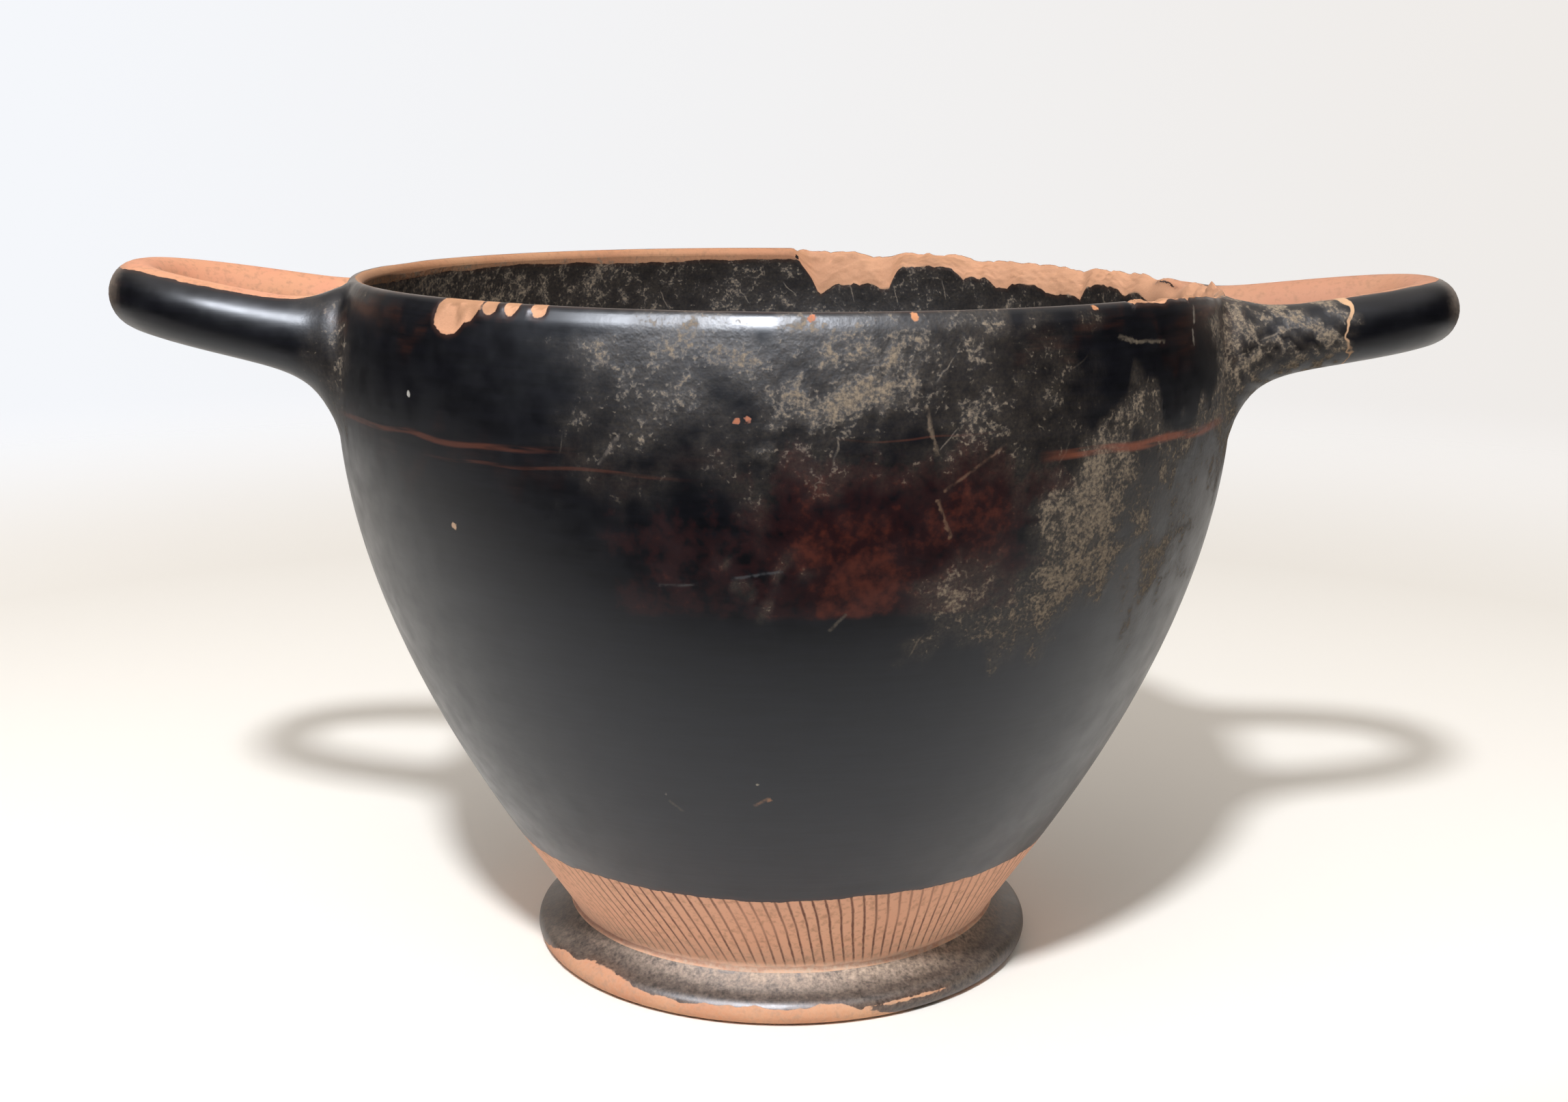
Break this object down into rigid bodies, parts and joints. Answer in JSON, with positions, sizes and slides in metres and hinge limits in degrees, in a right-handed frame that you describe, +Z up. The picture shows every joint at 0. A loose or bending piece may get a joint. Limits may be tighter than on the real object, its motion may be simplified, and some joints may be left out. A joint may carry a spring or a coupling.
{
  "type": "skyphos",
  "caption": "Deep black-glazed clay drinking cup on a ring foot, with level loop handles at the lip and a bare zone of fine rays above the foot; lip chipped.",
  "frame": {"origin": "centre of the ring foot's resting plane, on the axis of the bowl", "axes": "+Z up along the axis of the bowl, +X through the right handle as seen from the front, +Y towards the back of the bowl where the lip is spalled"},
  "size_m": [0.2028, 0.1338, 0.1063],
  "materials": {
    "gloss": "black clay gloss, glossy, worn, with a bare orange clay zone above the foot"
  },
  "bodies": {
    "root": {"skyphos": "gloss"}
  },
  "joints": []
}
